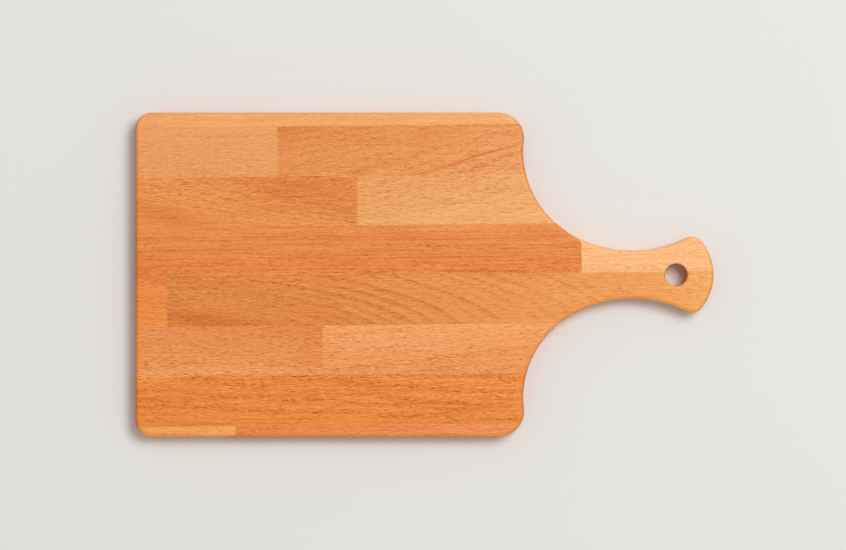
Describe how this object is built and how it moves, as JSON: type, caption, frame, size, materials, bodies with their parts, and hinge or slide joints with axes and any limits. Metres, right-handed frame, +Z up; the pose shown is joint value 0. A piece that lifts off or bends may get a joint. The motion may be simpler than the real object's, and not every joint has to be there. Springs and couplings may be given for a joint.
{
  "type": "cheese board",
  "caption": "Paddle-shaped edge-glued beech board with rounded corners, scooped neck, flared handle and hanging hole, for cutting and serving cheese.",
  "frame": {"origin": "middle of the board's bounding box, on the surface that the board lies on", "axes": "+X along the board towards its handle, +Y across it to the back edge, +Z up out of the serving face"},
  "size_m": [0.392, 0.22, 0.018],
  "materials": {
    "beech_straw": "satin",
    "beech_rose": "satin",
    "beech_pink": "satin",
    "beech_russet": "satin",
    "beech_tan": "satin",
    "beech_cream": "satin",
    "beech_orange": "satin",
    "glue": "satin"
  },
  "bodies": {
    "root": {"back_edge_strip": "beech_straw", "stave_2_left": "beech_rose", "stave_2_right": "beech_pink", "stave_3_left": "beech_russet", "stave_3_right": "beech_straw", "stave_4_body": "beech_russet", "stave_4_handle": "beech_cream", "stave_5_stub": "beech_russet", "stave_5_handle": "beech_tan", "stave_6_left": "beech_pink", "stave_6_right": "beech_rose", "stave_7": "beech_orange", "front_edge_strip_left": "beech_straw", "front_edge_strip_right": "beech_russet", "glue_line_1_2": "glue", "glue_line_2_3": "glue", "glue_line_3_4": "glue", "glue_line_4_5": "glue", "glue_line_4_5_end": "glue", "glue_line_5_6": "glue", "glue_line_6_7": "glue", "glue_line_7_8": "glue", "finger_glue_2": "glue", "finger_glue_3": "glue", "finger_glue_4": "glue", "finger_glue_5": "glue", "finger_glue_6": "glue", "finger_glue_8": "glue"}
  },
  "joints": []
}
